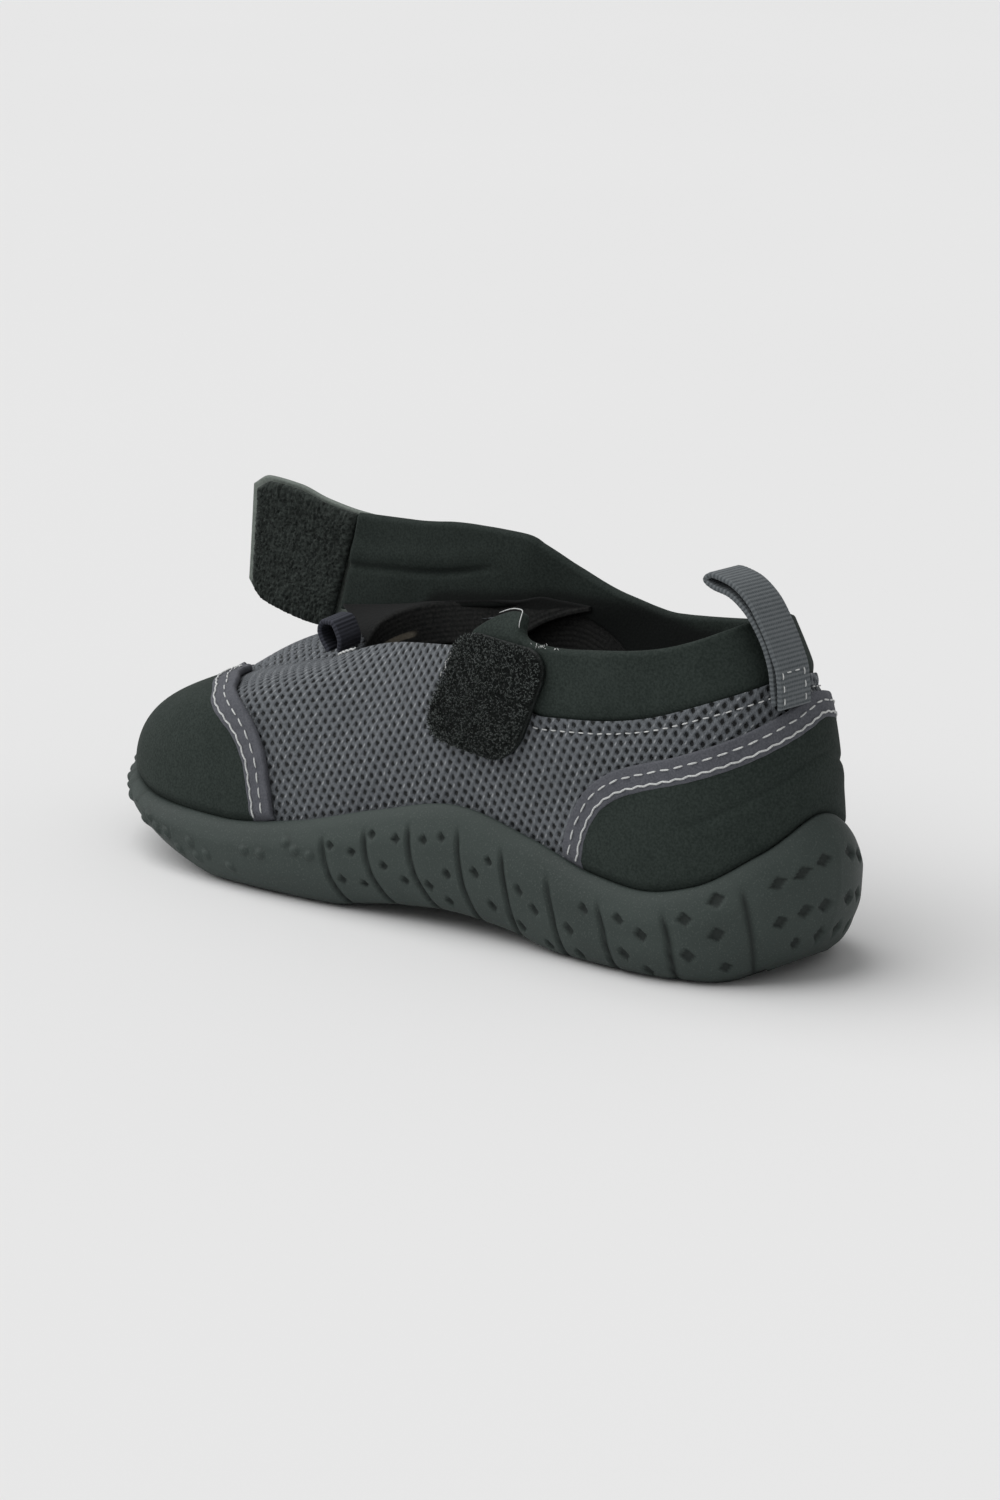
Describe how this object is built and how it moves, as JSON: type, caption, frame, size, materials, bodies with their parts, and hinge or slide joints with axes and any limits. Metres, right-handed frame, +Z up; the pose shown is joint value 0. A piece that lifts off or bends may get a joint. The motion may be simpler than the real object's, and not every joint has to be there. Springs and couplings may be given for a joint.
{
  "type": "water shoe",
  "caption": "Child's left water shoe: dark rubber cup sole, grey mesh upper, neoprene toe cap, counter and collar, an open hook-and-loop strap and webbing pull loops.",
  "frame": {"origin": "middle of the shoe's box at floor level, under the flat spots of the heel and the forefoot", "axes": "+X from heel to toe, +Y to the wearer's left, the outer side of this left shoe, +Z up from the floor"},
  "size_m": [0.1898, 0.0722, 0.0806],
  "materials": {
    "rubber": "matte",
    "mesh": "open air mesh",
    "neoprene": "knit-faced neoprene",
    "tape": "matte flat tape",
    "hook": "hook-and-loop pile",
    "webbing": "ribbed webbing",
    "navy": "ribbed webbing",
    "foam": "cloth-faced foam",
    "backing": "matte backing"
  },
  "bodies": {
    "root": {"outsole": "rubber", "insole": "foam", "upper": "mesh", "collar": "neoprene", "toe_cap": "neoprene", "toe_band": "tape", "heel_counter": "neoprene", "counter_band": "tape", "hook_pad": "hook", "strap_tab": "backing", "loop_pad": "hook", "heel_loop": "webbing", "throat_loop": "navy"}
  },
  "joints": []
}
